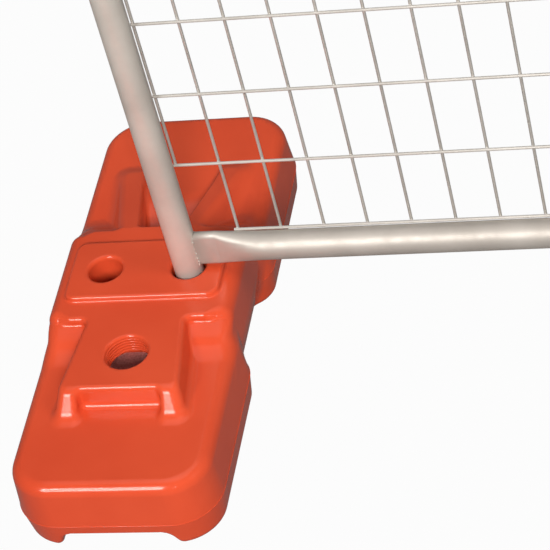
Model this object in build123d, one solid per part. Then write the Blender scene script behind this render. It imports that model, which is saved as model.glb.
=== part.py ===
"""Temporary fence panel: a welded tube and wire panel standing in two ballast-filled plastic feet.

Millimetres, +Z up, ground at Z 0. X runs along the panel, Y is square to it, and the origin lies on the
ground under the middle of the panel. The feet stand square to the panel.
"""
from build123d import *
import os
from math import pi, radians, sin, sqrt

# Panel frame
PANEL_WIDTH = 2415.0  # over both posts
POST_TOP = 2116.0  # height of the posts' upper ends above the ground
TUBE_OD = 33.7
TUBE_WALL = 2.0
FLAT_THICKNESS = 12.0  # a rail's end, pressed flat
FLAT_LENGTH = 33.0
FLARE_LENGTH = 58.0  # from the flat end to the full round
RAIL_DROP = 26.3  # top rail's axis below the posts' upper ends
RAIL_TO_PAD = 4.0  # clear gap between the bottom rail's flat end and a foot

# Wire mesh
WIRE_D = 3.5
WIRE_PITCH_ACROSS = 50.0
WIRE_PITCH_UP = 100.0
MESH_SETBACK = 10.5  # horizontal wires' axes behind the tubes' axes
END_WIRE_OFFSET = 15.7  # first upright wire's axis from the post's axis
FLARE_CLEARANCE = 0.95  # lifts the end rows over the swell of the rails' flares
WELD_GAP = 0.05  # between pieces that are welded face to face

# Plastic caps and plugs of the posts
CAP_THICKNESS = 3.0
CAP_PLUG_LENGTH = 22.0
LEG_PLUG_THICKNESS = 4.0
LEG_PLUG_LENGTH = 28.0
PLUG_CLEARANCE = 0.15  # radial, in the tube's bore
SEAT_GAP = 0.3  # between a leg plug and its socket's floor

# Foot, outside
FOOT_LENGTH = 622.0  # at the parting line
FOOT_WIDTH = 236.0  # at the parting line
PARTING_HEIGHT = 38.0
PLATEAU_HEIGHT = 95.0  # top of the lobes
BLOCK_RISE = 28.5  # middle block and front boss above the lobes
PAD_RISE = 6.5  # pad above the middle block
WAIST_LENGTH = 104.0  # gap between the two lobes
BLOCK_WIDTH = 219.0
BLOCK_LENGTH = 150.0  # flat top of the middle block
SHOULDER_RUN = 36.0  # length of the slope from the block down to a lobe
SHOULDER_STEP = 6.5  # upright step from the block's top to that slope
LOBE_CORNER = 54.0
WAIST_CORNER = 30.0
WAIST_UNDERCUT = 24.0  # finger recess under each side of the middle block
WAIST_LIFT = 46.0  # height where that recess runs out
UPPER_DRAFT = 4.5  # degrees, above the parting line
LOWER_DRAFT = 8.0  # degrees, below the parting line
TOP_ROUND = 14.0
BOTTOM_ROUND = 8.0
PAD_WIDTH = 184.0
PAD_LENGTH = 94.0
PAD_CORNER = 14.0
PAD_ROUND = 3.0

# Foot, bosses on the lobes
BOSS_ROOT_WIDTH = 108.0  # front boss, inside the block
BOSS_END_WIDTH = 140.0
RIBS_ROOT_WIDTH = 90.0  # over both ribs of the rear boss, inside the block
RIBS_END_WIDTH = 118.0
RIBS_SIDE_RUN = 22.0  # spread of the ribs' outer sides down to the lobe
RIBS_END_RISE = 9.0  # ribs' height above the lobe at their far ends
BOSS_END = 185.5  # far edge of the boss's top, from the foot's middle
BOSS_SIDE_RUN = 5.0  # spread of the front boss's sides down to the lobe
BOSS_FACE_RUN = 20.5  # run of its end face down to the lobe
BOSS_ROUND = 5.0
NOTCH_WIDTH = 96.0
NOTCH_DEPTH = 1.5  # at the top; its back wall stands upright in the sloping end face
GRIP_ROOT_WIDTH = 50.0
GRIP_END_WIDTH = 90.0
GRIP_DEPTH = 24.0  # below the lobe's top, beside the block
GRIP_RUN = 72.0  # length of the grip's sloping floor

# Foot, openings and inside
SHELL_WALL = 4.0
HOLE_SPACING = 100.0
HOLE_D = 40.0
HOLE_ROUND = 2.5
CHANNEL_WIDTH = 120.0  # stacking channel underneath
CHANNEL_DEPTH = 24.0
CHANNEL_SPREAD = 8.0
FILLER_D = 50.0
FILLER_OFFSET = 129.0  # filler hole's axis from the foot's middle
FILLER_NECK = 25.0
FILL_DROP = 15.0  # ballast's level below the top of the lobes
FILL_GAP = 0.3  # between the ballast and the shell

# Sizes that follow
TUBE_R = TUBE_OD / 2
BORE_R = TUBE_R - TUBE_WALL
WIRE_R = WIRE_D / 2
FLAT_HEIGHT = FLAT_THICKNESS + pi / 2 * (TUBE_OD - FLAT_THICKNESS)  # the tube keeps its girth
BLOCK_HEIGHT = PLATEAU_HEIGHT + BLOCK_RISE
PAD_HEIGHT = BLOCK_HEIGHT + PAD_RISE
FILL_HEIGHT = PLATEAU_HEIGHT - FILL_DROP
POST_X = PANEL_WIDTH / 2 - TUBE_R
BOTTOM_RAIL_Z = PAD_HEIGHT + RAIL_TO_PAD + FLAT_HEIGHT / 2
TOP_RAIL_Z = POST_TOP - RAIL_DROP
SOCKET_FLOOR = CHANNEL_DEPTH + SHELL_WALL
POST_BOTTOM = SOCKET_FLOOR + SEAT_GAP + LEG_PLUG_THICKNESS
FOOT_X = POST_X + HOLE_SPACING / 2
TOUCH = TUBE_R + WIRE_R + WELD_GAP  # axis distance of a wire lying against a tube
UPRIGHT_SETBACK = MESH_SETBACK + WIRE_D + WELD_GAP
END_ROW_OFFSET = sqrt(TOUCH**2 - MESH_SETBACK**2) + FLARE_CLEARANCE


def tube(radius, wall, length):
    """Round tube standing on the ground plane."""
    outside = Cylinder(radius, length, align=(Align.CENTER, Align.CENTER, Align.MIN))
    return outside - Cylinder(radius - wall, length, align=(Align.CENTER, Align.CENTER, Align.MIN))


def post(x):
    return Pos(x, 0, POST_BOTTOM) * tube(TUBE_R, TUBE_WALL, POST_TOP - POST_BOTTOM)


def rail_section(x, press, inset):
    """Closed section of a rail at x: round at press 0, pressed flat at press 1."""
    ease = press * press * (3 - 2 * press)
    half_thick = TUBE_R + (FLAT_THICKNESS / 2 - TUBE_R) * ease - inset
    half_high = TUBE_R + (FLAT_HEIGHT / 2 - TUBE_R) * ease - inset
    round_corner = sin(radians(45))
    flat_high = FLAT_HEIGHT / 2 - FLAT_THICKNESS / 2
    corner_y = (round_corner + (0.95 - round_corner) * ease) * half_thick
    corner_z = (TUBE_R - inset) * round_corner
    corner_z += (flat_high - corner_z) * ease
    right = [(corner_y, -corner_z), (half_thick, 0), (corner_y, corner_z)]
    top = [(corner_y, corner_z), (0, half_high), (-corner_y, corner_z)]
    left = [(-corner_y, corner_z), (-half_thick, 0), (-corner_y, -corner_z)]
    bottom = [(-corner_y, -corner_z), (0, -half_high), (corner_y, -corner_z)]
    arcs = [ThreePointArc(*side) for side in (right, top, left, bottom)]
    return Plane.YZ.offset(x) * make_face(arcs)


def rail_solid(inset):
    """Rail along X, centred, with both ends pressed flat, its skin set in by inset."""
    reach = POST_X
    flat_at = reach - TUBE_R - FLAT_LENGTH
    round_at = flat_at - FLARE_LENGTH
    steps = 4
    body = extrude(rail_section(-round_at, 0, inset), 2 * round_at, dir=(1, 0, 0))
    for side in (-1, 1):
        flare = [
            rail_section(side * (round_at + FLARE_LENGTH * step / steps), step / steps, inset)
            for step in range(steps + 1)
        ]
        body += loft(flare)
        body += extrude(rail_section(side * flat_at, 1, inset), reach - flat_at, dir=(side, 0, 0))
    return body


def rail(z):
    """Hollow rail whose flat ends are cut to sit against the round posts."""
    body = rail_solid(0) - rail_solid(TUBE_WALL)
    for side in (-1, 1):
        body -= Pos(side * POST_X, 0, 0) * Cylinder(TUBE_R + WELD_GAP, 2 * FLAT_HEIGHT)
    return Pos(0, 0, z) * body


def plug(x, end_z, direction, thickness, length):
    """Plastic plug in a post's end at end_z, with its head on the direction side."""
    head = Cylinder(TUBE_R, thickness, align=(Align.CENTER, Align.CENTER, Align.MIN))
    head = chamfer(head.edges().sort_by(Axis.Z)[-1], thickness / 3)
    stem = Cylinder(BORE_R - PLUG_CLEARANCE, length, align=(Align.CENTER, Align.CENTER, Align.MAX))
    body = head + stem
    if direction < 0:
        body = Rot(180, 0, 0) * body
    return Pos(x, 0, end_z) * body


def wire(start, end):
    return Solid.make_cylinder(WIRE_R, (end - start).length, Plane(start, z_dir=end - start))


def row_heights():
    low = BOTTOM_RAIL_Z + END_ROW_OFFSET
    high = TOP_RAIL_Z - END_ROW_OFFSET
    gaps = round((high - low) / WIRE_PITCH_UP)
    return [low + (high - low) * row / gaps for row in range(gaps + 1)]


def column_places():
    reach = POST_X - END_WIRE_OFFSET
    gaps = round(2 * reach / WIRE_PITCH_ACROSS)
    return [-reach + 2 * reach * column / gaps for column in range(gaps + 1)]


def horizontal_wires():
    """Wires that run from post to post; the lowest and highest stop one upright short of the ends."""
    columns = column_places()
    rows = row_heights()
    tip = POST_X - sqrt((TUBE_R + WELD_GAP)**2 - (MESH_SETBACK - WIRE_R)**2)
    wires = []
    for row, z in enumerate(rows):
        clipped = row in (0, len(rows) - 1)
        reach = columns[-2] + WIRE_D if clipped else tip
        wires.append(wire(Vector(-reach, MESH_SETBACK, z), Vector(reach, MESH_SETBACK, z)))
    return wires


def upright_wires():
    """Wires from rail to rail; the two outermost stop one row short of the rails."""
    columns = column_places()
    rows = row_heights()
    rail_face = sqrt((TUBE_R + WELD_GAP)**2 - (UPRIGHT_SETBACK - WIRE_R)**2)
    wires = []
    for column, x in enumerate(columns):
        clipped = column in (0, len(columns) - 1)
        low = rows[1] - WIRE_D if clipped else BOTTOM_RAIL_Z + rail_face
        high = rows[-2] + WIRE_D if clipped else TOP_RAIL_Z - rail_face
        wires.append(wire(Vector(x, UPRIGHT_SETBACK, low), Vector(x, UPRIGHT_SETBACK, high)))
    return wires


def lobe(side, inset):
    """One end of the foot, widest at the parting line and rounded above and below."""
    length = (FOOT_LENGTH - WAIST_LENGTH) / 2 - 2 * inset
    middle = side * (FOOT_LENGTH + WAIST_LENGTH) / 4
    outline = Rectangle(FOOT_WIDTH - 2 * inset, length)
    far = outline.vertices().group_by(Axis.Y)[-1 if side > 0 else 0]
    outline = fillet(far, LOBE_CORNER - inset)
    near = outline.vertices().group_by(Axis.Y)[0 if side > 0 else -1]
    outline = fillet(near, WAIST_CORNER - inset)
    outline = Pos(0, middle, PARTING_HEIGHT) * outline
    upper = extrude(outline, PLATEAU_HEIGHT - inset - PARTING_HEIGHT, taper=UPPER_DRAFT)
    lower = extrude(outline, -(PARTING_HEIGHT - inset), taper=LOWER_DRAFT)
    upper = fillet(upper.faces().sort_by(Axis.Z)[-1].edges(), TOP_ROUND - inset)
    lower = fillet(lower.faces().sort_by(Axis.Z)[0].edges(), BOTTOM_ROUND - inset)
    return upper + lower


def block(inset):
    """Middle block: a flat top, a step at both ends and slopes from there down to the lobes."""
    half = BLOCK_LENGTH / 2
    foot_half = half + SHOULDER_RUN
    slope_top = BLOCK_HEIGHT - SHOULDER_STEP
    profile = make_face(Polyline(
        (-foot_half, 0), (foot_half, 0), (foot_half, PLATEAU_HEIGHT), (half, slope_top),
        (-half, slope_top), (-foot_half, PLATEAU_HEIGHT), close=True,
    ))
    if inset:
        profile = offset(profile, -inset, kind=Kind.INTERSECTION)
    width = BLOCK_WIDTH - 2 * inset
    body = extrude(Plane.YZ * profile, width / 2, both=True)
    ridge = [
        edge for edge in body.edges()
        if abs(abs(edge.center().X) - width / 2) < 0.01 and edge.center().Z > PLATEAU_HEIGHT
    ]
    body = fillet(ridge, TOP_ROUND - inset)
    slab = Box(
        width, 2 * (half - inset), BLOCK_HEIGHT - 2 * inset, align=(Align.CENTER, Align.CENTER, Align.MIN),
    )
    slab = Pos(0, 0, inset) * slab
    body += fillet(slab.edges().filter_by(Axis.Y).group_by(Axis.Z)[-1], TOP_ROUND - inset)
    for side in (-1, 1):
        body -= undercut(side, inset)
    return body


def undercut(side, grow):
    """Sloping cut that lets fingers under one side of the middle block."""
    edge = BLOCK_WIDTH / 2
    profile = make_face(Polyline(
        (side * edge, WAIST_LIFT), (side * (edge - WAIST_UNDERCUT), 0),
        (side * (edge - WAIST_UNDERCUT), -WAIST_LIFT), (side * 2 * edge, -WAIST_LIFT),
        (side * 2 * edge, WAIST_LIFT), close=True,
    ))
    if grow:
        profile = offset(profile, grow, kind=Kind.INTERSECTION)
    return extrude(Plane.XZ * profile, FOOT_LENGTH, both=True)


def pad(inset):
    """Raised pad around the post holes."""
    outline = RectangleRounded(PAD_WIDTH - 2 * inset, PAD_LENGTH - 2 * inset, PAD_CORNER - inset)
    root = BLOCK_HEIGHT - TOP_ROUND
    body = extrude(Pos(0, 0, root) * outline, PAD_HEIGHT - inset - root)
    if not inset:
        body = fillet(body.faces().sort_by(Axis.Z)[-1].edges(), PAD_ROUND)
    return body


def boss(side, inset):
    """Flared boss on a lobe: level with the middle block in front, sloping down from it at the rear."""
    root = BLOCK_LENGTH / 2 - SHOULDER_RUN
    rise = PLATEAU_HEIGHT - TOP_ROUND
    slope = (BLOCK_HEIGHT - rise) / BLOCK_RISE
    root_width, end_width, side_run = BOSS_ROOT_WIDTH, BOSS_END_WIDTH, BOSS_SIDE_RUN
    if side > 0:
        root_width, end_width, side_run = RIBS_ROOT_WIDTH, RIBS_END_WIDTH, RIBS_SIDE_RUN

    def outline(spread, run):
        near = root_width / 2 + spread
        far = end_width / 2 + spread
        end = BOSS_END + run
        corners = [(-near, root), (near, root), (far, end), (-far, end)]
        face = make_face(Polyline(*[(u, side * v) for u, v in corners], close=True))
        return offset(face, -inset, kind=Kind.INTERSECTION) if inset else face

    low = Pos(0, 0, rise) * outline(side_run * slope, BOSS_FACE_RUN * slope)
    high = Pos(0, 0, BLOCK_HEIGHT - inset) * outline(0, 0)
    body = loft([low, high])
    if side > 0:
        body -= rib_slope(inset)
    elif not inset:
        top = body.faces().sort_by(Axis.Z)[-1]
        body = fillet([edge for edge in top.edges() if abs(edge.center().Y) > root + 1], BOSS_ROUND)
    return body


def rib_slope(grow):
    """Cut that slopes the rear boss's top from the block down towards the lobe."""
    start = BLOCK_LENGTH / 2
    end = BOSS_END + 2 * BOSS_FACE_RUN
    fall = (BLOCK_RISE - RIBS_END_RISE) / (BOSS_END - start) * (end - start)
    profile = make_face(Polyline(
        (start, BLOCK_HEIGHT), (end, BLOCK_HEIGHT - fall), (end, 2 * BLOCK_HEIGHT), (start, 2 * BLOCK_HEIGHT),
        close=True,
    ))
    if grow:
        profile = offset(profile, grow, kind=Kind.INTERSECTION)
    return extrude(Plane.YZ * profile, FOOT_WIDTH, both=True)


def notch(grow):
    """Cut in the front boss's end face."""
    depth = BOSS_END + BOSS_FACE_RUN + NOTCH_DEPTH
    start = BOSS_END - NOTCH_DEPTH - grow
    tool = Box(NOTCH_WIDTH + 2 * grow, depth, BLOCK_HEIGHT, align=(Align.CENTER, Align.MAX, Align.MIN))
    return Pos(0, -start, PLATEAU_HEIGHT - grow) * tool


def grip(grow):
    """Hand grip in the rear boss: open at the far end, deepest beside the block."""
    start = BLOCK_LENGTH / 2 + SHELL_WALL
    end = BOSS_END + 2 * BOSS_FACE_RUN
    floor = make_face(Polyline(
        (start, PLATEAU_HEIGHT - GRIP_DEPTH), (start + GRIP_RUN, PLATEAU_HEIGHT), (end, PLATEAU_HEIGHT),
        (end, 2 * BLOCK_HEIGHT), (start, 2 * BLOCK_HEIGHT), close=True,
    ))
    flare = (GRIP_END_WIDTH - GRIP_ROOT_WIDTH) / 2 / (BOSS_END - start)
    near = GRIP_ROOT_WIDTH / 2
    far = near + flare * (end - start)
    plan = make_face(Polyline((-near, start), (near, start), (far, end), (-far, end), close=True))
    if grow:
        floor = offset(floor, grow, kind=Kind.INTERSECTION)
        plan = offset(plan, grow, kind=Kind.INTERSECTION)
    return extrude(Plane.YZ * floor, FOOT_WIDTH, both=True) & extrude(plan, 3 * BLOCK_HEIGHT)


def channel(grow):
    """Stacking channel underneath, from end to end."""
    half = CHANNEL_WIDTH / 2
    wide = half + 2 * CHANNEL_SPREAD
    profile = make_face(Polyline(
        (-wide, -CHANNEL_DEPTH), (wide, -CHANNEL_DEPTH), (half, CHANNEL_DEPTH), (-half, CHANNEL_DEPTH),
        close=True,
    ))
    if grow:
        profile = offset(profile, grow, kind=Kind.INTERSECTION)
    return extrude(Plane.XZ * profile, FOOT_LENGTH, both=True)


def hole_places():
    return [-HOLE_SPACING / 2, HOLE_SPACING / 2]


def well(x, y, radius, floor, top):
    """Round cut from above, down to floor."""
    tool = Cylinder(radius, top - floor, align=(Align.CENTER, Align.CENTER, Align.MIN))
    return Pos(x, y, floor) * tool


def foot_body(inset):
    """The foot's outside at inset 0, or its skin set in by inset with every opening's wall left standing."""
    body = block(inset) + pad(inset)
    for side in (-1, 1):
        body += lobe(side, inset)
        body += boss(side, inset)
    body -= notch(inset)
    body -= grip(inset)
    body -= channel(inset)
    for x in hole_places():
        body -= well(x, 0, HOLE_D / 2 + inset, SOCKET_FLOOR - inset, 2 * PAD_HEIGHT)
    body -= well(0, -FILLER_OFFSET, FILLER_D / 2 + inset, BLOCK_HEIGHT - FILLER_NECK, 2 * PAD_HEIGHT)
    return body


def foot_shell():
    body = foot_body(0)
    rims = [
        edge for edge in body.edges().filter_by(GeomType.CIRCLE)
        if abs(edge.center().Z - PAD_HEIGHT) < 0.01 and abs(edge.radius - HOLE_D / 2) < 0.01
    ]
    rims += [
        edge for edge in body.edges().filter_by(GeomType.CIRCLE)
        if abs(edge.center().Z - BLOCK_HEIGHT) < 0.01 and abs(edge.radius - FILLER_D / 2) < 0.01
    ]
    body = fillet(rims, HOLE_ROUND)
    return body - foot_body(SHELL_WALL)


def foot_ballast():
    fill = Box(2 * FOOT_WIDTH, 2 * FOOT_LENGTH, FILL_HEIGHT, align=(Align.CENTER, Align.CENTER, Align.MIN))
    return foot_body(SHELL_WALL + FILL_GAP) & fill


def build():
    """Every piece by name, in place."""
    pieces = {
        "left_post": post(-POST_X),
        "right_post": post(POST_X),
        "bottom_rail": rail(BOTTOM_RAIL_Z),
        "top_rail": rail(TOP_RAIL_Z),
        "vertical_wires": Compound(upright_wires()),
    }
    for number, piece in enumerate(horizontal_wires(), start=1):
        pieces[f"horizontal_wire_{number:02d}"] = piece
    shell = foot_shell()
    ballast = foot_ballast()
    for name, side in (("left", -1), ("right", 1)):
        x = side * POST_X
        pieces[f"{name}_post_cap"] = plug(x, POST_TOP, 1, CAP_THICKNESS, CAP_PLUG_LENGTH)
        pieces[f"{name}_leg_plug"] = plug(x, POST_BOTTOM, -1, LEG_PLUG_THICKNESS, LEG_PLUG_LENGTH)
        pieces[f"{name}_foot_shell"] = Pos(side * FOOT_X, 0, 0) * shell
        pieces[f"{name}_foot_ballast"] = Pos(side * FOOT_X, 0, 0) * ballast
    return pieces


pieces = build()
os.makedirs("parts", exist_ok=True)
for name, piece in pieces.items():
    export_step(piece, f"parts/{name}.step")
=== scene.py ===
"""Dresses the temporary fence panel: moulded orange feet, galvanised tubes and welded wire mesh."""
import random
from math import atan2, cos, hypot, pi, radians, sin, sqrt, tan

import bmesh
import bpy
import numpy as np
from mathutils import Matrix, Vector


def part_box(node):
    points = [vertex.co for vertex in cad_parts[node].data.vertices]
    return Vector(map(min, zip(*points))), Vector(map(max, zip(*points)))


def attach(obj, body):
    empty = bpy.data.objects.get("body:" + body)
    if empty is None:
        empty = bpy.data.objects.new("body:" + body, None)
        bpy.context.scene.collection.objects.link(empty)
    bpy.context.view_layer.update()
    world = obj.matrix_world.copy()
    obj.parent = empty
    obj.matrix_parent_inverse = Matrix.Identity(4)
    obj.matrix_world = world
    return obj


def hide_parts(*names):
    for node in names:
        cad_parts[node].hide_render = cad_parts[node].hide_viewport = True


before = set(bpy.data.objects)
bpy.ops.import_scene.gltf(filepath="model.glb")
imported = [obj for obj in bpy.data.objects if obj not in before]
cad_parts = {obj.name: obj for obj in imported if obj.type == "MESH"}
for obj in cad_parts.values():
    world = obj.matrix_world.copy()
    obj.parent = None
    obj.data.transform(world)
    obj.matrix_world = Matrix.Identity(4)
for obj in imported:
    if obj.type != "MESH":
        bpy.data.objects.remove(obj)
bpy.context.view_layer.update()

MM = 0.001
X, Z = 0, 2
SIDES = ("left", "right")

# Camera, as the photograph was taken: metres, degrees, and millimetres for lens and sensor
CAMERA_PLACE = (-0.33235, -2.12075, 2.13692)
CAMERA_HEADING = 19.721
CAMERA_TILT = 48.017
CAMERA_ROLL = -15.727
CAMERA_LENS = 174.36
CAMERA_SENSOR = 36.0
CAMERA_REACH = 100.0

# Tubes, in metres
TUBE_R = 33.7 * MM / 2
TUBE_WALL = 2.0 * MM
TUBE_CHAMFER = 0.4 * MM
TUBE_SIDES = 72
FLAT_HALF_THICK = 12.0 * MM / 2
FLAT_LENGTH = 25.0 * MM
FLAT_FULLNESS = 0.95  # how square the flat end's section is
FLARE_LENGTH = 58.0 * MM
FLARE_STEPS = 28
FLARE_EASE = 1.7  # above 1 the flare leaves the round tube gently
CREASE = 0.7 * MM  # width of the fold where the flat end begins
WELD_GAP = 0.05 * MM  # between a rail's end and the post

# Post caps
CAP_GAP = 0.15 * MM  # between the plug and the tube
CAP_TIP = 2.0 * MM  # length of the plug's tapered tip
CAP_TIP_SHARE = 0.9  # of the plug's radius
CAP_ROUND_STEPS = 6
CAP_FLAT_SHARE = 0.3  # of the tube's radius

# Wires, in metres, and the weld spots where they cross, as shares of a wire's radius
WIRE_R = 3.5 * MM / 2
WIRE_EDGE = 0.5 * MM
WIRE_SIDES = 16
WIRE_ROWS = 20
SPOT_SPREAD = (1.0, 1.25)
SPOT_DEPTH = 0.9

# Weld beads at the rails' ends, in millimetres, each measure drawn from its span
BEAD_OFFSET = (-0.6, 0.2)  # out from the flat end's face
BEAD_SIZES = ((0.9, 1.7), (0.6, 1.1), (1.0, 2.2))
BEAD_SPACING = (4.5, 11.0)
BEAD_MARGIN = 2.0  # left free above and below

# Spots and beads are small balls, pressed and drawn at random
DRAW_SEED = 7
BALL_AROUND = 10
BALL_UPRIGHT = 6

# Foot, in millimetres from its middle: u across, v along, z up
FOOT_STEP = 2.0  # size of the mesh's faces
PARTING_HEIGHT = 38.0
PLATEAU_HEIGHT = 95.0
BLOCK_HEIGHT = 123.5
PAD_HEIGHT = 130.0
WAIST_LENGTH = 104.0
BLOCK_HALF_WIDTH = 109.5
BLOCK_HALF_LENGTH = 75.0
SHOULDER_RUN = 36.0
SHOULDER_STEP = 5.2
STEP_FILLET = 3.2
STEP_FILLET_LEAST = 0.1  # share of the fillet that is left at the sides
STEP_FADE = 10.0  # how far past the flat top the fillet reaches
STEP_REACH = 80.0  # beyond this the step's edge softens
LOBE_CORNER = 54.0
WAIST_CORNER = 40.0
WAIST_UNDERCUT = 24.0
WAIST_LIFT = 46.0
UPPER_DRAFT = 4.5  # degrees
LOWER_DRAFT = 8.0
TOP_ROUND = 14.0
BLOCK_ROUND = 16.0
BOTTOM_ROUND = 8.0
WAIST_ROUND = 10.0
PAD_HALF_WIDTH = 92.0
PAD_HALF_LENGTH = 47.0
PAD_CORNER = 14.0
PAD_ROUND = 3.8
PAD_FILLET = 2.6
PAD_ROOT = 2 * TOP_ROUND  # how deep the pad reaches into the block
BOSS_ROOT_HALF = 54.0
BOSS_END_HALF = 70.0
RIBS_ROOT_HALF = 45.0
RIBS_END_HALF = 59.0
RIBS_SIDE_RUN = 22.0
RIBS_END_RISE = 9.0
BOSS_END = 185.5
BOSS_SIDE_RUN = 5.0
BOSS_FACE_RUN = 22.2
BOSS_ROUND = 5.5
BOSS_CORNER = 11.0
BOSS_FILLET = 8.0
NOTCH_HALF = 48.0
NOTCH_DEPTH = 1.5
NOTCH_ROUND = 6.0
PILLAR_ROUND = 6.0
GRIP_ROOT_HALF = 25.0
GRIP_END_HALF = 45.0
GRIP_DEPTH = 24.0
GRIP_RUN = 72.0
GRIP_ROUND = 5.0
SHELL_WALL = 4.0
HOLE_OFFSET = 50.0
HOLE_R = 20.0
HOLE_ROUND = 4.5
SOCKET_FLOOR = 28.0
CHANNEL_HALF = 60.0
CHANNEL_DEPTH = 24.0
CHANNEL_SPREAD = 8.0
CHANNEL_ROUND = 8.0  # at the runners' inner edges
CHANNEL_EDGE = 1.5  # at the ends of its ceiling
FILLER_R = 25.0
FILLER_ROUND = 3.5
FILLER_OFFSET = 129.0
FILLER_NECK = 25.0
ROOM_HALF_WIDTH = 46.0  # room under the filler hole
ROOM_HALF_LENGTH = 42.0
ROOM_CORNER = 12.0

# Thread in the filler hole, in millimetres
THREAD_PITCH = 4.0
THREAD_TURNS = 5
THREAD_STEPS = 64  # in one turn
THREAD_DEPTH = 0.9
THREAD_START = 4.0  # below the top
THREAD_ROOT = 0.2  # into the wall
THREAD_LEAST = 0.25  # depth at its two ends
THREAD_HALF = 0.36  # half its width at the root, as a share of the pitch
THREAD_CREST = 0.35  # its width at the crest, as a share of that at the root

# Parting line round each lobe, in millimetres
PARTING_R = 0.5
PARTING_SIDES = 8
PARTING_ARC_STEPS = 16
PARTING_START = 60.0  # degrees of the waist's corner that it covers

# How a field turns into a mesh
GRID_MARGIN = 2  # steps of the grid beyond the shape
SLOPE_PROBE = 0.02
SLOPE_LEAST = 0.25  # square of the least slope
PULL_ROUNDS = 4
PULL_MOST = 0.4  # of a step, in each round
TINY = 1e-6

# Materials
RAMP_STOPS = (0.35, 0.65)
ORANGE_TONES = ((0.62, 0.066, 0.023), (0.68, 0.080, 0.029))
ORANGE_ROUGHNESS = (0.15, 0.22)
POST_TONES = ((0.78, 0.74, 0.68), (0.88, 0.84, 0.775))
RAIL_TONES = ((0.60, 0.555, 0.51), (0.68, 0.635, 0.59))
WIRE_TONES = ((0.62, 0.59, 0.55), (0.72, 0.69, 0.65))
WELD_TONES = ((0.58, 0.54, 0.49), (0.74, 0.70, 0.65))
BLACK_TONES = ((0.012, 0.012, 0.012), (0.028, 0.028, 0.028))
# Painted shade: the ballast seen through the filler hole is given the reddish maroon of the foot's orange
# plastic in shade
BALLAST_SHADE_TONES = ((0.48, 0.155, 0.145), (0.66, 0.26, 0.235))

# Floor: its own grey, and how much of it shows as plain white
FLOOR_COLOUR = (0.15, 0.15, 0.15, 1)
FLOOR_GLOW = 0.97  # to the camera
FLOOR_GLOW_MIRRORED = 0.05  # in metal and gloss
FLOOR_LEVEL = -0.1402  # just below a foot that is pulled right off its post
FLOOR_HALF = 30.0

# Light: soft lamps far off, so that the panel is lit evenly
WORLD_COLOUR = (1.0, 0.97, 0.94, 1)
WORLD_STRENGTH = 0.16
LAMP_COLOUR = (1.0, 0.97, 0.93)
LAMP_TARGET = (-1.2, 0.0, 0.1)
LAMPS = (  # name, place, size, power, whether it lights surfaces, whether it shows in reflections
    ("key_light", (4.95, -18.924, 13.522), 5.4, 5040, True, False),
    ("left_light", (-9.39, -17.568, 15.244), 3.6, 1728, True, False),
    ("sheen_light", (-9.39, -17.568, 15.244), 7.8, 4320, False, True),
    ("right_light", (16.782, -3.822, 15.526), 9.0, 1224, True, False),
    ("top_light", (-1.2, 1.25, 8.6), 6.25, 100, True, True),
)


def round_max(a, b, r):
    """Overlap of two fields, its outside edge rounded."""
    return np.minimum(np.maximum(a, b), -r) + np.hypot(np.maximum(a + r, 0), np.maximum(b + r, 0))


def round_min(a, b, r):
    """Sum of two fields, its inside corner filled."""
    return np.maximum(np.minimum(a, b), r) - np.hypot(np.maximum(r - a, 0), np.maximum(r - b, 0))


def rounded_plan(a, b, half_a, half_b, corner):
    """Distance from a rectangle with round corners, for points a, b from its middle."""
    qa = np.abs(a) - half_a + corner
    qb = np.abs(b) - half_b + corner
    return np.minimum(np.maximum(qa, qb), 0) + np.hypot(np.maximum(qa, 0), np.maximum(qb, 0)) - corner


FOOT_LOW, FOOT_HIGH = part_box("left_foot_shell")
FOOT_HALF_WIDTH = (FOOT_HIGH[0] - FOOT_LOW[0]) / 2 / MM
FOOT_HALF_LENGTH = (FOOT_HIGH[1] - FOOT_LOW[1]) / 2 / MM
BALLAST_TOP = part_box("left_foot_ballast")[1][2] / MM


def lobe_field(u, v, z):
    """The low lobes at both ends of the foot."""
    half = (FOOT_HALF_LENGTH - WAIST_LENGTH / 2) / 2
    along = np.abs(v) - (FOOT_HALF_LENGTH - half)
    plan = rounded_plan(u, along, FOOT_HALF_WIDTH, half, np.where(along > 0, LOBE_CORNER, WAIST_CORNER))
    above = z > PARTING_HEIGHT
    draft = np.where(above, tan(radians(UPPER_DRAFT)), tan(radians(LOWER_DRAFT)))
    side = plan + draft * np.abs(z - PARTING_HEIGHT)
    end = np.where(above, z - PLATEAU_HEIGHT, -z)
    return round_max(side, end, np.where(above, TOP_ROUND, BOTTOM_ROUND))


def block_side(u, z):
    """Sides of the middle block, cut back below for fingers."""
    side = np.abs(u) - BLOCK_HALF_WIDTH
    lean = hypot(WAIST_LIFT, WAIST_UNDERCUT)
    under = (side * WAIST_LIFT + (WAIST_LIFT - z) * WAIST_UNDERCUT) / lean
    return round_max(side, under, WAIST_ROUND)


def shoulders(side, v, z):
    """Slopes from the bottom of the middle block's steps down to the lobes."""
    top = BLOCK_HEIGHT - SHOULDER_STEP
    drop = top - PLATEAU_HEIGHT
    slope = ((np.abs(v) - BLOCK_HALF_LENGTH) * drop + (z - top) * SHOULDER_RUN) / hypot(drop, SHOULDER_RUN)
    return round_max(round_max(side, slope, BLOCK_ROUND), z - top, TOP_ROUND)


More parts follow.
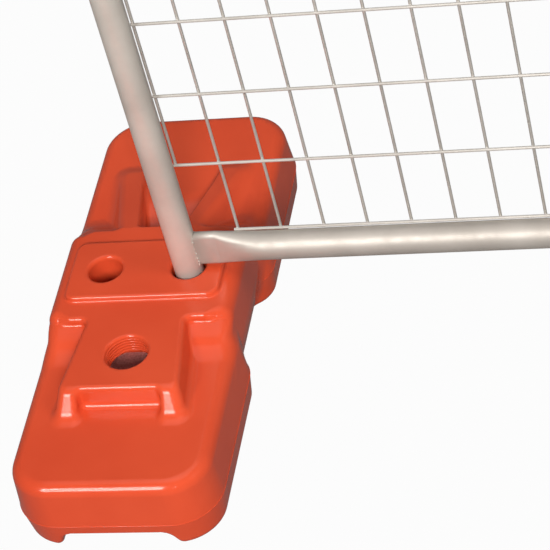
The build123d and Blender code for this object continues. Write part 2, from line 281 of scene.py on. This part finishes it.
def boss_sides(u, v, z):
    """Flared sides and end face of the front boss and the rear ribs, without their tops."""
    root = BLOCK_HALF_LENGTH - SHOULDER_RUN
    rear = v > 0
    near = np.where(rear, RIBS_ROOT_HALF, BOSS_ROOT_HALF)
    flare = (np.where(rear, RIBS_END_HALF, BOSS_END_HALF) - near) / (BOSS_END - root)
    drop = BLOCK_HEIGHT - PLATEAU_HEIGHT
    fall = np.minimum(BLOCK_HEIGHT - z, drop + TOP_ROUND)
    lean = np.where(rear, RIBS_SIDE_RUN, BOSS_SIDE_RUN) / drop
    width = near + flare * (np.abs(v) - root) + lean * fall
    side = (np.abs(u) - width) / np.sqrt(1 + flare**2 + lean**2)
    face = ((np.abs(v) - BOSS_END) * drop - fall * BOSS_FACE_RUN) / hypot(drop, BOSS_FACE_RUN)
    return round_max(side, face, BOSS_CORNER)


def upper_top(v, z):
    """Level top of the block and the front boss, and the slope of the rear ribs."""
    fall = BLOCK_HEIGHT - PLATEAU_HEIGHT - RIBS_END_RISE
    run = BOSS_END - BLOCK_HALF_LENGTH
    ribs = ((v - BLOCK_HALF_LENGTH) * fall + (z - BLOCK_HEIGHT) * run) / hypot(fall, run)
    return np.maximum(z - BLOCK_HEIGHT, ribs)


def notch_field(u, v):
    """Shallow notch between the two pillars of the front boss's end face."""
    return round_max(np.abs(u) - NOTCH_HALF, v + BOSS_END - NOTCH_DEPTH, NOTCH_ROUND)


def grip_plan(u, v):
    """Plan of the hand grip between the rear ribs."""
    start = BLOCK_HALF_LENGTH + SHELL_WALL
    flare = (GRIP_END_HALF - GRIP_ROOT_HALF) / (BOSS_END - start)
    side = np.abs(u) - GRIP_ROOT_HALF - flare * (v - start)
    return round_max(side / hypot(1, flare), start - v, GRIP_ROUND)


def grip_floor(v, z):
    """Sloping floor of the hand grip."""
    rise = GRIP_DEPTH / GRIP_RUN
    level = PLATEAU_HEIGHT - GRIP_DEPTH + rise * (v - BLOCK_HALF_LENGTH - SHELL_WALL)
    return (level - z) / hypot(1, rise)


def upper_field(u, v, z):
    """Middle block with its shoulders, front boss and rear ribs."""
    side = block_side(u, z)
    block = round_max(side, np.abs(v) - BLOCK_HALF_LENGTH, BLOCK_ROUND)
    boss = boss_sides(u, v, z)
    front = round_max(boss, -notch_field(u, v), PILLAR_ROUND)
    rear = round_max(boss, -grip_plan(u, v), GRIP_ROUND)
    upper = round_min(block, np.where(v < 0, front, rear), BOSS_FILLET)
    side_reach = BLOCK_HALF_WIDTH - BLOCK_ROUND
    edge = np.clip((np.abs(u) - STEP_REACH) / (side_reach - STEP_REACH), 0, 1)
    upper = round_max(upper, upper_top(v, z), BOSS_ROUND + (BLOCK_ROUND - BOSS_ROUND) * edge)
    fade = np.clip((side_reach + STEP_FADE - np.abs(u)) / TOP_ROUND, STEP_FILLET_LEAST, 1)
    return round_min(shoulders(side, v, z), upper, STEP_FILLET * fade)


def closed_foot(u, v, z):
    """Outside of the foot, without its filler hole."""
    body = round_min(lobe_field(u, v, z), upper_field(u, v, z), BOSS_FILLET)
    body = np.maximum(body, -z)
    pad = rounded_plan(u, v, PAD_HALF_WIDTH, PAD_HALF_LENGTH, PAD_CORNER)
    pad = round_max(pad, z - PAD_HEIGHT, PAD_ROUND)
    pad = np.maximum(pad, BLOCK_HEIGHT - PAD_ROOT - z)
    body = round_min(body, pad, PAD_FILLET)
    pocket = round_max(grip_plan(u, v), grip_floor(v, z), GRIP_ROUND)
    body = round_max(body, -pocket, GRIP_ROUND)
    channel = np.abs(u) - CHANNEL_HALF - CHANNEL_SPREAD * (CHANNEL_DEPTH - z) / CHANNEL_DEPTH
    channel = round_max(channel, z - CHANNEL_DEPTH, CHANNEL_ROUND)
    low = np.clip(1 - z / CHANNEL_DEPTH, 0, 1)
    body = round_max(body, -channel, CHANNEL_EDGE + (CHANNEL_ROUND - CHANNEL_EDGE) * low)
    well = np.maximum(np.hypot(np.abs(u) - HOLE_OFFSET, v) - HOLE_R, SOCKET_FLOOR - z)
    return round_max(body, -well, HOLE_ROUND)


def foot_field(u, v, z):
    """The foot with its filler hole, and the room that shows below that hole's neck."""
    body = closed_foot(u, v, z)
    across = np.hypot(u, v + FILLER_OFFSET)
    neck_end = BLOCK_HEIGHT - FILLER_NECK
    room = rounded_plan(u, v + FILLER_OFFSET, ROOM_HALF_WIDTH, ROOM_HALF_LENGTH, ROOM_CORNER)
    room = np.maximum(room, z - BLOCK_HEIGHT + SHELL_WALL + FOOT_STEP)
    room = np.maximum(room, BALLAST_TOP - FOOT_STEP - z)
    room = np.maximum(room, -np.maximum(across - FILLER_R - SHELL_WALL, neck_end - z))
    filler = np.maximum(across - FILLER_R, neck_end - SHELL_WALL - z)
    body = round_max(body, -filler, FILLER_ROUND)
    return np.maximum(body, -room)


def field_slope(field, points):
    """Direction in which the field grows at each point."""
    slope = np.empty_like(points)
    for axis in range(3):
        ahead = points.copy()
        behind = points.copy()
        ahead[:, axis] += SLOPE_PROBE
        behind[:, axis] -= SLOPE_PROBE
        slope[:, axis] = (field(*ahead.T) - field(*behind.T)) / (2 * SLOPE_PROBE)
    return slope


def crossed_cells(inside):
    """Grid cells that the surface passes through."""
    counts = [size - 1 for size in inside.shape]
    total = np.zeros(counts, dtype=np.int8)
    for i in (0, 1):
        for j in (0, 1):
            for k in (0, 1):
                total += inside[i:i + counts[0], j:j + counts[1], k:k + counts[2]]
    return np.argwhere((total > 0) & (total < 8))


def cell_points(values, cells):
    """One point for each cell, in grid steps: the mean of where the surface cuts the cell's edges."""
    points = np.zeros((len(cells), 3))
    weight = np.zeros(len(cells))
    for direction in range(3):
        others = [axis for axis in range(3) if axis != direction]
        for i in (0, 1):
            for j in (0, 1):
                start = cells.copy()
                start[:, others[0]] += i
                start[:, others[1]] += j
                end = start.copy()
                end[:, direction] += 1
                a = values[tuple(start.T)]
                b = values[tuple(end.T)]
                crossing = (a < 0) != (b < 0)
                share = np.where(crossing, a / np.where(crossing, a - b, 1), 0)
                place = start.astype(float)
                place[:, direction] += share
                points[crossing] += place[crossing]
                weight += crossing
    return points / weight[:, None]


def surface_quads(inside, number):
    """A quad round each grid edge that the surface cuts, from the numbers of the four cells beside it."""
    quads = []
    for direction in range(3):
        first, second = (direction + 1) % 3, (direction + 2) % 3
        start = [slice(None)] * 3
        end = [slice(None)] * 3
        start[direction] = slice(0, -1)
        end[direction] = slice(1, None)
        edges = np.argwhere(inside[tuple(start)] != inside[tuple(end)])
        edges = edges[(edges[:, first] > 0) & (edges[:, second] > 0)]
        corners = []
        for i, j in ((-1, -1), (0, -1), (0, 0), (-1, 0)):
            cell = edges.copy()
            cell[:, first] += i
            cell[:, second] += j
            corners.append(number[tuple(cell.T)])
        quad = np.stack(corners, axis=1)
        inward = ~inside[tuple(edges.T)]
        quad[inward] = quad[inward][:, ::-1]
        quads.append(quad)
    return np.concatenate(quads)


def smooth_faces(mesh):
    mesh.polygons.foreach_set("use_smooth", [True] * len(mesh.polygons))


def field_mesh(field, low, high, step, name):
    """Closed mesh of quads where the field is zero, its points pulled onto that surface."""
    margin = GRID_MARGIN * step
    axes = [np.arange(a - margin, b + margin + step, step) for a, b in zip(low, high)]
    values = field(*np.meshgrid(*axes, indexing="ij"))
    inside = values < 0
    cells = crossed_cells(inside)
    number = np.full([size - 1 for size in inside.shape], -1, dtype=np.int64)
    number[tuple(cells.T)] = np.arange(len(cells))
    points = np.array([axis[0] for axis in axes]) + step * cell_points(values, cells)
    for _ in range(PULL_ROUNDS):
        slope = field_slope(field, points)
        steepness = np.maximum((slope**2).sum(axis=1), SLOPE_LEAST)
        move = -(field(*points.T) / steepness)[:, None] * slope
        points += np.clip(move, -PULL_MOST * step, PULL_MOST * step)
    mesh = bpy.data.meshes.new(name)
    mesh.from_pydata((points * MM).tolist(), [], surface_quads(inside, number).tolist())
    smooth_faces(mesh)
    mesh.update()
    normals = field_slope(field, points)
    normals /= np.maximum(np.linalg.norm(normals, axis=1), TINY)[:, None]
    mesh.normals_split_custom_set_from_vertices(normals.tolist())
    return mesh


def add_skin(bm, rings, loop):
    """Skin over rings of points that all have the same count, closed into a loop or at its two ends."""
    loops = [[bm.verts.new(point) for point in ring] for ring in rings]
    pairs = list(zip(loops, loops[1:]))
    if loop:
        pairs.append((loops[-1], loops[0]))
    count = len(loops[0])
    for a, b in pairs:
        for i in range(count):
            j = (i + 1) % count
            bm.faces.new((a[i], a[j], b[j], b[i]))
    if not loop:
        bm.faces.new(loops[0][::-1])
        bm.faces.new(loops[-1])


def skin_mesh(name, *skins, loop=False):
    """Smooth mesh of one or more skins, each a list of rings."""
    bm = bmesh.new()
    for rings in skins:
        add_skin(bm, rings, loop)
    bmesh.ops.recalc_face_normals(bm, faces=bm.faces)
    mesh = bpy.data.meshes.new(name)
    bm.to_mesh(mesh)
    bm.free()
    smooth_faces(mesh)
    return mesh


def circle(centre, radius, along, sides):
    """Ring of points round an axis: along 0 is X, 1 is Y, 2 is Z."""
    first, second = (along + 1) % 3, (along + 2) % 3
    ring = []
    for step in range(sides):
        angle = 2 * pi * step / sides
        point = list(centre)
        point[first] += radius * cos(angle)
        point[second] += radius * sin(angle)
        ring.append(point)
    return ring


def middle_x(node):
    low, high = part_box(node)
    return (low[0] + high[0]) / 2


def add_piece(name, mesh, material):
    piece = bpy.data.objects.new(name, mesh)
    bpy.context.collection.objects.link(piece)
    if not mesh.materials:
        mesh.materials.append(material)
    return piece


def settle(piece, body, slot, *replaced):
    """Parents a placed piece to the body it rides on and hides the nodes that it replaces."""
    bpy.context.view_layer.update()
    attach(piece, body)
    if replaced:
        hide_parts(*replaced)


def add_to_feet(kind, mesh, y, *replaced):
    """The same mesh on both feet, in place of their nodes that end in these words."""
    for side in SIDES:
        piece = add_piece(f"{side}_{kind}", mesh, ORANGE)
        piece.location = (middle_x(f"{side}_foot_shell"), y, 0)
        settle(piece, f"{side}_foot", "orange_plastic", *[f"{side}_{words}" for words in replaced])


def new_material(name):
    material = bpy.data.materials.new(name)
    material.use_nodes = True
    nodes = material.node_tree.nodes
    return material, nodes, material.node_tree.links, nodes["Principled BSDF"]


def noise(nodes, links, scale, detail):
    """Noise that stays put on the object."""
    place = nodes.new("ShaderNodeTexCoord")
    node = nodes.new("ShaderNodeTexNoise")
    node.inputs["Scale"].default_value = scale
    node.inputs["Detail"].default_value = detail
    links.new(place.outputs["Object"], node.inputs["Vector"])
    return node.outputs["Fac"]


def ramp(nodes, links, source, tones):
    """Colour between two tones, by a value."""
    node = nodes.new("ShaderNodeValToRGB")
    for element, stop, tone in zip(node.color_ramp.elements, RAMP_STOPS, tones):
        element.position = stop
        element.color = (*tone, 1)
    links.new(source, node.inputs["Fac"])
    return node.outputs["Color"]


def grey_ramp(nodes, links, source, span):
    return ramp(nodes, links, source, [[grey] * 3 for grey in span])


def add_bump(nodes, links, shader, *heights):
    """Bump from (height, strength, distance) rows, one on top of another."""
    normal = None
    for height, strength, distance in heights:
        bump = nodes.new("ShaderNodeBump")
        bump.inputs["Strength"].default_value = strength
        bump.inputs["Distance"].default_value = distance
        links.new(height, bump.inputs["Height"])
        if normal:
            links.new(normal, bump.inputs["Normal"])
        normal = bump.outputs["Normal"]
    links.new(normal, shader.inputs["Normal"])


def orange_material():
    material, nodes, links, shader = new_material("orange_moulded_plastic")
    patches = noise(nodes, links, scale=7.0, detail=3.0)
    scuffs = noise(nodes, links, scale=60.0, detail=6.0)
    grain = noise(nodes, links, scale=900.0, detail=2.0)
    waves = noise(nodes, links, scale=22.0, detail=2.0)
    links.new(ramp(nodes, links, patches, ORANGE_TONES), shader.inputs["Base Color"])
    links.new(grey_ramp(nodes, links, scuffs, ORANGE_ROUGHNESS), shader.inputs["Roughness"])
    shader.inputs["Specular IOR Level"].default_value = 0.45
    add_bump(nodes, links, shader, (waves, 0.10, 0.002), (grain, 0.02, 0.0003))
    return material


def zinc_material(name, tones, metallic, roughness):
    """Galvanised steel, with two tones and the span of its roughness."""
    material, nodes, links, shader = new_material(name)
    patches = noise(nodes, links, scale=18.0, detail=5.0)
    streaks = noise(nodes, links, scale=90.0, detail=4.0)
    grain = noise(nodes, links, scale=700.0, detail=2.0)
    links.new(ramp(nodes, links, patches, tones), shader.inputs["Base Color"])
    links.new(grey_ramp(nodes, links, streaks, roughness), shader.inputs["Roughness"])
    shader.inputs["Metallic"].default_value = metallic
    shader.inputs["Specular IOR Level"].default_value = 0.35
    add_bump(nodes, links, shader, (streaks, 0.05, 0.001), (grain, 0.04, 0.0002))
    return material


def black_material():
    material, nodes, links, shader = new_material("black_plastic")
    patches = noise(nodes, links, scale=120.0, detail=3.0)
    grain = noise(nodes, links, scale=1200.0, detail=2.0)
    links.new(ramp(nodes, links, patches, BLACK_TONES), shader.inputs["Base Color"])
    shader.inputs["Roughness"].default_value = 0.5
    add_bump(nodes, links, shader, (grain, 0.1, 0.0002))
    return material


# Ballast in the reddish maroon of the foot's orange plastic in shade: painted shade on the ballast, not a sand
# colour
def painted_shade_ballast_material():
    material, nodes, links, shader = new_material("ballast_painted_shade")
    specks = noise(nodes, links, scale=350.0, detail=8.0)
    links.new(ramp(nodes, links, specks, BALLAST_SHADE_TONES), shader.inputs["Base Color"])
    shader.inputs["Roughness"].default_value = 0.9
    add_bump(nodes, links, shader, (specks, 0.6, 0.002))
    return material


ORANGE = orange_material()
POST_ZINC = zinc_material("galvanised_post", POST_TONES, metallic=0.4, roughness=(0.52, 0.6))
RAIL_ZINC = zinc_material("galvanised_rail", RAIL_TONES, metallic=0.62, roughness=(0.53, 0.61))
WIRE = zinc_material("galvanised_wire", WIRE_TONES, metallic=0.35, roughness=(0.42, 0.54))
WELD = zinc_material("bright_weld", WELD_TONES, metallic=0.5, roughness=(0.42, 0.54))
BLACK = black_material()
BALLAST = painted_shade_ballast_material()


def build_feet():
    low = (-FOOT_HALF_WIDTH, -FOOT_HALF_LENGTH, 0)
    high = (FOOT_HALF_WIDTH, FOOT_HALF_LENGTH, PAD_HEIGHT)
    mesh = field_mesh(foot_field, low, high, FOOT_STEP, "moulded_foot")
    add_to_feet("moulded_foot", mesh, 0, "foot_shell")


def build_posts():
    inner = TUBE_R - TUBE_WALL
    for side in SIDES:
        node = f"{side}_post"
        low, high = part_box(node)
        x = middle_x(node)
        profile = [
            (TUBE_R - TUBE_CHAMFER, low[2]), (TUBE_R, low[2] + TUBE_CHAMFER), (TUBE_R, high[2] - TUBE_CHAMFER),
            (TUBE_R - TUBE_CHAMFER, high[2]), (inner, high[2]), (inner, low[2]),
        ]
        rings = [circle((x, 0, z), r, Z, TUBE_SIDES) for r, z in profile]
        piece = add_piece(f"{side}_round_post", skin_mesh(f"{side}_round_post", rings, loop=True), POST_ZINC)
        settle(piece, "panel", "galvanised_tube", node)


def arc(a, b, c, steps):
    """Points on the circle through a, b and c, from a up to but not at c."""
    ax, ay = a
    bx, by = b
    cx, cy = c
    d = 2 * (ax * (by - cy) + bx * (cy - ay) + cx * (ay - by))
    ux = ((ax**2 + ay**2) * (by - cy) + (bx**2 + by**2) * (cy - ay) + (cx**2 + cy**2) * (ay - by)) / d
    uy = ((ax**2 + ay**2) * (cx - bx) + (bx**2 + by**2) * (ax - cx) + (cx**2 + cy**2) * (bx - ax)) / d
    radius = hypot(ax - ux, ay - uy)
    start = atan2(ay - uy, ax - ux)
    turn = (atan2(cy - uy, cx - ux) - start) % (2 * pi)
    angles = [start + turn * step / steps for step in range(steps)]
    return [(ux + radius * cos(angle), uy + radius * sin(angle)) for angle in angles]


def rail_ring(x, z, press, flat_half_high):
    """Section of a rail: round at press 0, pressed flat at press 1."""
    ease = press**FLARE_EASE
    thick = TUBE_R + (FLAT_HALF_THICK - TUBE_R) * ease
    high = TUBE_R + (flat_half_high - TUBE_R) * ease
    diagonal = sin(radians(45))
    corner_y = (diagonal + (FLAT_FULLNESS - diagonal) * ease) * thick
    corner_z = TUBE_R * diagonal
    corner_z += (flat_half_high - FLAT_HALF_THICK - corner_z) * ease
    steps = TUBE_SIDES // 4
    ring = arc((corner_y, -corner_z), (thick, 0), (corner_y, corner_z), steps)
    ring += arc((corner_y, corner_z), (0, high), (-corner_y, corner_z), steps)
    ring += arc((-corner_y, corner_z), (-thick, 0), (-corner_y, -corner_z), steps)
    ring += arc((-corner_y, -corner_z), (0, -high), (corner_y, -corner_z), steps)
    return [(x, y, z + up) for y, up in ring]


def rail_seat(ring, post_x, side):
    """The ring at a rail's end, moved on to where it meets the round post."""
    reach = TUBE_R + WELD_GAP
    return [(side * (post_x - sqrt(reach**2 - y**2)), y, z) for _, y, z in ring]


def build_rails():
    post_x = middle_x("right_post")
    flat_at = post_x - TUBE_R - FLAT_LENGTH
    round_at = flat_at - FLARE_LENGTH
    presses = [step / FLARE_STEPS for step in range(FLARE_STEPS + 1)]
    stations = [(round_at + FLARE_LENGTH * press, press) for press in presses] + [(flat_at + CREASE, 1)]
    stations = [(-x, press) for x, press in reversed(stations)] + stations
    for node in ("bottom_rail", "top_rail"):
        low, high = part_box(node)
        z = (low[2] + high[2]) / 2
        rings = [rail_ring(x, z, press, (high[2] - low[2]) / 2) for x, press in stations]
        rings = [rail_seat(rings[0], post_x, -1), *rings, rail_seat(rings[-1], post_x, 1)]
        piece = add_piece(f"{node}_pressed", skin_mesh(f"{node}_pressed", rings), RAIL_ZINC)
        settle(piece, "panel", "galvanised_tube", node)


def wire_rings(start, length, along):
    """Rings of a straight wire with its cut ends lightly rounded."""
    stations = [
        (0, WIRE_R - WIRE_EDGE), (WIRE_EDGE, WIRE_R), (length - WIRE_EDGE, WIRE_R), (length, WIRE_R - WIRE_EDGE),
    ]
    rings = []
    for offset, radius in stations:
        place = list(start)
        place[along] += offset
        rings.append(circle(place, radius, along, WIRE_SIDES))
    return rings


def solid_boxes(node):
    """Boxes of a node's separate solids, found from its mesh."""
    bm = bmesh.new()
    bm.from_mesh(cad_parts[node].data)
    bmesh.ops.remove_doubles(bm, verts=bm.verts, dist=TINY)
    seen = set()
    boxes = []
    for vert in bm.verts:
        if vert in seen:
            continue
        group = [vert]
        seen.add(vert)
        for member in group:
            for edge in member.link_edges:
                other = edge.other_vert(member)
                if other not in seen:
                    seen.add(other)
                    group.append(other)
        points = np.array([member.co for member in group])
        boxes.append((points.min(axis=0), points.max(axis=0)))
    bm.free()
    return boxes


def build_wires():
    """The mesh; returns (left, right, y, z) of its rows and (bottom, top, x, y) of its columns."""
    rows = []
    for number in range(1, WIRE_ROWS + 1):
        node = f"horizontal_wire_{number:02d}"
        low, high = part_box(node)
        y = (low[1] + high[1]) / 2
        z = (low[2] + high[2]) / 2
        rows.append((low[0], high[0], y, z))
        mesh = skin_mesh(f"{node}_drawn", wire_rings((low[0], y, z), high[0] - low[0], X))
        piece = add_piece(f"{node}_drawn", mesh, WIRE)
        settle(piece, "panel", "mesh_wire", node)
    columns = []
    for low, high in solid_boxes("vertical_wires"):
        columns.append((low[2], high[2], (low[0] + high[0]) / 2, (low[1] + high[1]) / 2))
    wires = [wire_rings((x, y, bottom), top - bottom, Z) for bottom, top, x, y in columns]
    piece = add_piece("vertical_wires_drawn", skin_mesh("vertical_wires_drawn", *wires), WIRE)
    settle(piece, "panel", "mesh_wire", "vertical_wires")
    return rows, columns


def unit_ball(around, upright):
    """Points and faces of a ball of radius 1."""
    points = [(0, 0, -1)]
    for ring in range(1, upright):
        tilt = pi * ring / upright
        for step in range(around):
            angle = 2 * pi * step / around
            points.append((sin(tilt) * cos(angle), sin(tilt) * sin(angle), -cos(tilt)))
    points.append((0, 0, 1))
    faces = []
    last = len(points) - 1
    for step in range(around):
        after = (step + 1) % around
        faces.append((0, 1 + after, 1 + step))
        for ring in range(upright - 2):
            base = 1 + ring * around
            faces.append((base + step, base + after, base + around + after, base + around + step))
        base = 1 + (upright - 2) * around
        faces.append((base + step, base + after, last))
    return np.array(points), faces


def lump_mesh(name, lumps):
    """Mesh of small smooth lumps, each a centre and its half sizes."""
    ball_points, ball_faces = unit_ball(BALL_AROUND, BALL_UPRIGHT)
    points = []
    faces = []
    for centre, size in lumps:
        first = len(points)
        points.extend((ball_points * size + centre).tolist())
        faces.extend([tuple(first + corner for corner in face) for face in ball_faces])
    mesh = bpy.data.meshes.new(name)
    mesh.from_pydata(points, [], faces)
    smooth_faces(mesh)
    mesh.update()
    return mesh


def crossing_spots(draw, rows, columns):
    """Weld spots where the wires cross."""
    spots = []
    for left, right, y, z in rows:
        for bottom, top, x, back in columns:
            if left - WIRE_R < x < right + WIRE_R and bottom - WIRE_R < z < top + WIRE_R:
                spread = WIRE_R * draw.uniform(*SPOT_SPREAD)
                spots.append(((x, (y + back) / 2, z), (spread, WIRE_R * SPOT_DEPTH, spread)))
    return spots


def rail_beads(draw):
    """Weld beads up both faces of the rails' flat ends."""
    beads = []
    for side in (-1, 1):
        post_x = side * middle_x("right_post")
        for node in ("bottom_rail", "top_rail"):
            low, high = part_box(node)
            for face in (-1, 1):
                z = low[2] + BEAD_MARGIN * MM
                while z < high[2] - BEAD_MARGIN * MM:
                    y = face * (FLAT_HALF_THICK + draw.uniform(*BEAD_OFFSET) * MM)
                    x = post_x - side * sqrt(TUBE_R**2 - y**2)
                    size = [draw.uniform(*span) * MM for span in BEAD_SIZES]
                    beads.append(((x, y, z), size))
                    z += draw.uniform(*BEAD_SPACING) * MM
    return beads


def build_welds(rows, columns):
    draw = random.Random(DRAW_SEED)
    piece = add_piece("crossing_welds", lump_mesh("crossing_welds", crossing_spots(draw, rows, columns)), WIRE)
    settle(piece, "panel", "mesh_wire")
    piece = add_piece("rail_welds", lump_mesh("rail_welds", rail_beads(draw)), WELD)
    settle(piece, "panel", "galvanised_tube")


def build_caps():
    plug = TUBE_R - TUBE_WALL - CAP_GAP
    for side in SIDES:
        node = f"{side}_post_cap"
        low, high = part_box(node)
        x = middle_x(node)
        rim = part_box(f"{side}_post")[1][2]
        rise = high[2] - rim
        profile = [(plug * CAP_TIP_SHARE, low[2]), (plug, low[2] + CAP_TIP), (plug, rim), (TUBE_R, rim)]
        for step in range(CAP_ROUND_STEPS + 1):
            angle = pi / 2 * step / CAP_ROUND_STEPS
            profile.append((TUBE_R - rise * (1 - cos(angle)), rim + rise * sin(angle)))
        profile.append((TUBE_R * CAP_FLAT_SHARE, high[2]))
        rings = [circle((x, 0, z), r, Z, TUBE_SIDES) for r, z in profile]
        piece = add_piece(f"{side}_domed_cap", skin_mesh(f"{side}_domed_cap", rings), BLACK)
        settle(piece, "panel", "black_plastic", node)


def build_threads():
    """Inside thread of each filler hole."""
    root = FILLER_R + THREAD_ROOT
    half = THREAD_PITCH * THREAD_HALF
    last = THREAD_TURNS * THREAD_STEPS
    quarter = THREAD_STEPS / 4
    rings = []
    for step in range(last + 1):
        angle = 2 * pi * step / THREAD_STEPS
        z = BLOCK_HEIGHT - THREAD_START - THREAD_PITCH * step / THREAD_STEPS
        crest = root - THREAD_LEAST - THREAD_DEPTH * min(1, step / quarter, (last - step) / quarter)
        section = [(root, half), (crest, half * THREAD_CREST), (crest, -half * THREAD_CREST), (root, -half)]
        rings.append([(r * cos(angle) * MM, r * sin(angle) * MM, (z + up) * MM) for r, up in section])
    add_to_feet("filler_thread", skin_mesh("filler_thread", rings), -FILLER_OFFSET * MM)


def parting_path(end):
    """Points along one lobe's widest line, from the middle block's one side round to the other."""
    near = WAIST_LENGTH / 2 + WAIST_CORNER
    far = FOOT_HALF_LENGTH - LOBE_CORNER
    shares = [step / PARTING_ARC_STEPS for step in range(PARTING_ARC_STEPS + 1)]
    points = []
    for corner, middle, start, turn in (
        (WAIST_CORNER, near, -PARTING_START, PARTING_START), (LOBE_CORNER, far, 0, 90),
    ):
        for share in shares:
            angle = radians(start + turn * share)
            points.append((FOOT_HALF_WIDTH - corner * (1 - cos(angle)), middle + corner * sin(angle)))
    points += [(-u, v) for u, v in reversed(points)]
    return [Vector((u, end * v)) for u, v in points]


def build_parting_lines():
    """Fine line that the mould leaves round each lobe where it is widest."""
    lines = []
    for end in (-1, 1):
        points = parting_path(end)
        rings = []
        for at, point in enumerate(points):
            ahead = points[min(at + 1, len(points) - 1)] - points[max(at - 1, 0)]
            across = Vector((ahead.y, -ahead.x)).normalized() * PARTING_R
            ring = []
            for step in range(PARTING_SIDES):
                angle = 2 * pi * step / PARTING_SIDES
                place = point + across * cos(angle)
                ring.append((place.x * MM, place.y * MM, (PARTING_HEIGHT + PARTING_R * sin(angle)) * MM))
            rings.append(ring)
        lines.append(rings)
    add_to_feet("parting_bead", skin_mesh("parting_bead", *lines), 0)


def paint_kept_nodes():
    """Materials for the frame's own solids that stay visible."""
    for side in SIDES:
        # The ballast gets painted shade, the maroon of the orange plastic in shade
        for node, material in ((f"{side}_leg_plug", BLACK), (f"{side}_foot_ballast", BALLAST)):
            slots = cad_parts[node].data.materials
            slots.clear()
            slots.append(material)


def math_node(nodes, links, operation, first, second):
    """Math on a socket and another socket or a number."""
    node = nodes.new("ShaderNodeMath")
    node.operation = operation
    links.new(first, node.inputs[0])
    if isinstance(second, float):
        node.inputs[1].default_value = second
    else:
        links.new(second, node.inputs[1])
    return node.outputs[0]


def floor_material():
    """Grey to the object's surfaces, white to the camera."""
    material, nodes, links, shader = new_material("pale_floor")
    shader.inputs["Base Color"].default_value = FLOOR_COLOUR
    shader.inputs["Roughness"].default_value = 0.9
    glow = nodes.new("ShaderNodeEmission")
    glow.inputs["Strength"].default_value = 1.0
    rays = nodes.new("ShaderNodeLightPath").outputs
    metal = math_node(nodes, links, "MAXIMUM", rays["Is Glossy Ray"], rays["Is Transmission Ray"])
    mirrored = math_node(nodes, links, "MULTIPLY", metal, FLOOR_GLOW_MIRRORED)
    seen = math_node(nodes, links, "MULTIPLY", rays["Is Camera Ray"], FLOOR_GLOW)
    mix = nodes.new("ShaderNodeMixShader")
    links.new(math_node(nodes, links, "MAXIMUM", seen, mirrored), mix.inputs["Fac"])
    links.new(shader.outputs["BSDF"], mix.inputs[1])
    links.new(glow.outputs["Emission"], mix.inputs[2])
    links.new(mix.outputs["Shader"], nodes["Material Output"].inputs["Surface"])
    return material


def build_floor():
    corners = [(u * FLOOR_HALF, v * FLOOR_HALF, 0) for u, v in ((-1, -1), (1, -1), (1, 1), (-1, 1))]
    mesh = bpy.data.meshes.new("floor")
    mesh.from_pydata(corners, [], [(0, 1, 2, 3)])
    mesh.update()
    floor = add_piece("floor", mesh, floor_material())
    floor.location.z = FLOOR_LEVEL


def build_lights():
    world = bpy.data.worlds.new("studio")
    bpy.context.scene.world = world
    world.use_nodes = True
    background = world.node_tree.nodes["Background"]
    background.inputs["Color"].default_value = WORLD_COLOUR
    background.inputs["Strength"].default_value = WORLD_STRENGTH
    for name, place, size, power, lights, mirrored in LAMPS:
        lamp = bpy.data.lights.new(name, "AREA")
        lamp.shape = "SQUARE"
        lamp.size = size
        lamp.energy = power
        lamp.color = LAMP_COLOUR
        lamp_object = bpy.data.objects.new(name, lamp)
        lamp_object.location = place
        aim = Vector(LAMP_TARGET) - Vector(place)
        lamp_object.rotation_euler = aim.to_track_quat("-Z", "Y").to_euler()
        lamp_object.visible_diffuse = lights
        lamp_object.visible_glossy = mirrored
        bpy.context.collection.objects.link(lamp_object)


def build_camera():
    camera = bpy.data.cameras.new("camera")
    camera.sensor_width = CAMERA_SENSOR
    camera.lens = CAMERA_LENS
    camera.clip_end = CAMERA_REACH
    camera_object = bpy.data.objects.new("camera", camera)
    bpy.context.collection.objects.link(camera_object)
    turn = Matrix.Rotation(radians(CAMERA_HEADING), 4, "Z")
    turn = turn @ Matrix.Rotation(radians(CAMERA_TILT), 4, "X")
    turn = turn @ Matrix.Rotation(radians(CAMERA_ROLL), 4, "Z")
    camera_object.matrix_world = Matrix.Translation(CAMERA_PLACE) @ turn
    bpy.context.scene.camera = camera_object


build_feet()
build_posts()
build_rails()
wire_rows, wire_columns = build_wires()
build_welds(wire_rows, wire_columns)
build_caps()
build_threads()
build_parting_lines()
paint_kept_nodes()
build_floor()
build_lights()
build_camera()
bpy.context.scene.view_settings.view_transform = "Standard"
